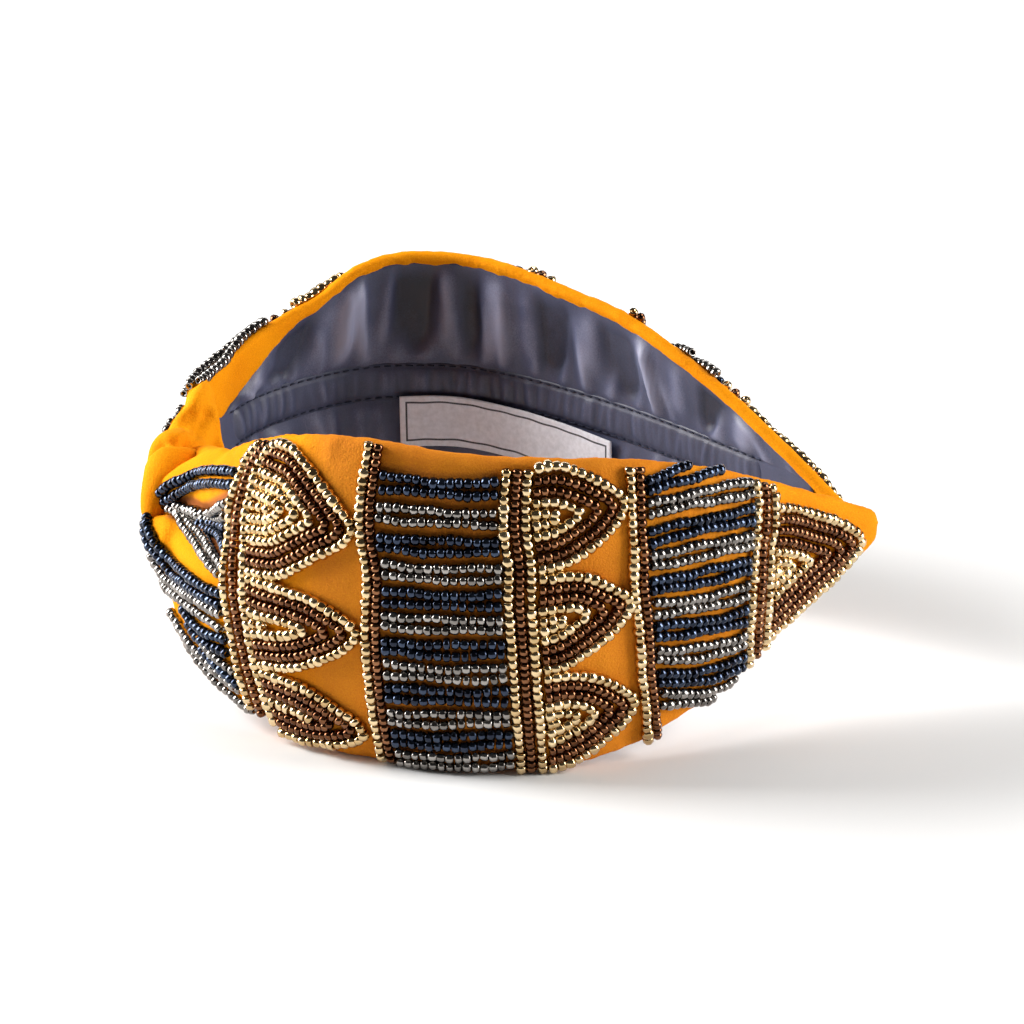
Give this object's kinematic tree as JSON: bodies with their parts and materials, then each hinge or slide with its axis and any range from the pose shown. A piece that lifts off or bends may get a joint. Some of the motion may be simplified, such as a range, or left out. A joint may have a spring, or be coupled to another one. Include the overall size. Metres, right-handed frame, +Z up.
{
  "type": "embroidered headband",
  "caption": "Knotted padded fabric headband with raised bead embroidery outside, a gathered satin lining inside and free blunt tips; worn over the head, stored on its side edge.",
  "frame": {"origin": "centre of the headband's bounding box, on the surface that it lies on", "axes": "+X from the knot to the tips, -Y towards the arm whose tip is in front, +Z up across the band's width"},
  "size_m": [0.1554, 0.1468, 0.0692],
  "materials": {
    "cloth": "matt mustard crepe",
    "satin": "grey-blue lining satin with a soft sheen",
    "label_cloth": "woven pale grey label, bare",
    "gold_beads": "opaque pale gold metallic coating",
    "bronze_beads": "opaque bronze metallic coating",
    "navy_beads": "opaque dark blue metallic coating",
    "steel_beads": "opaque steel grey metallic coating"
  },
  "bodies": {
    "root": {"near_cover": "cloth", "near_lining": "satin", "near_casing": "satin", "near_fan": "navy_beads", "near_column_knot": "gold_beads", "near_column_a": "gold_beads", "near_column_b": "gold_beads", "near_column_c": "gold_beads", "near_column_d": "gold_beads", "near_arrow_a1": "bronze_beads", "near_arrow_a2": "bronze_beads", "near_arrow_a3": "bronze_beads", "near_arrow_b1": "bronze_beads", "near_arrow_b2": "bronze_beads", "near_arrow_b3": "bronze_beads", "near_arrow_tip": "bronze_beads", "near_panel_a_navy": "navy_beads", "near_panel_a_steel": "steel_beads", "near_panel_b_navy": "navy_beads", "near_panel_b_steel": "steel_beads", "far_cover": "cloth", "far_lining": "satin", "far_casing": "satin", "far_fan": "navy_beads", "far_column_knot": "gold_beads", "far_column_a": "gold_beads", "far_column_b": "gold_beads", "far_column_c": "gold_beads", "far_column_d": "gold_beads", "far_arrow_a1": "bronze_beads", "far_arrow_a2": "bronze_beads", "far_arrow_a3": "bronze_beads", "far_arrow_b1": "bronze_beads", "far_arrow_b2": "bronze_beads", "far_arrow_b3": "bronze_beads", "far_arrow_tip": "bronze_beads", "far_panel_a_navy": "navy_beads", "far_panel_a_steel": "steel_beads", "far_panel_b_navy": "navy_beads", "far_panel_b_steel": "steel_beads", "label": "label_cloth"}
  },
  "joints": []
}
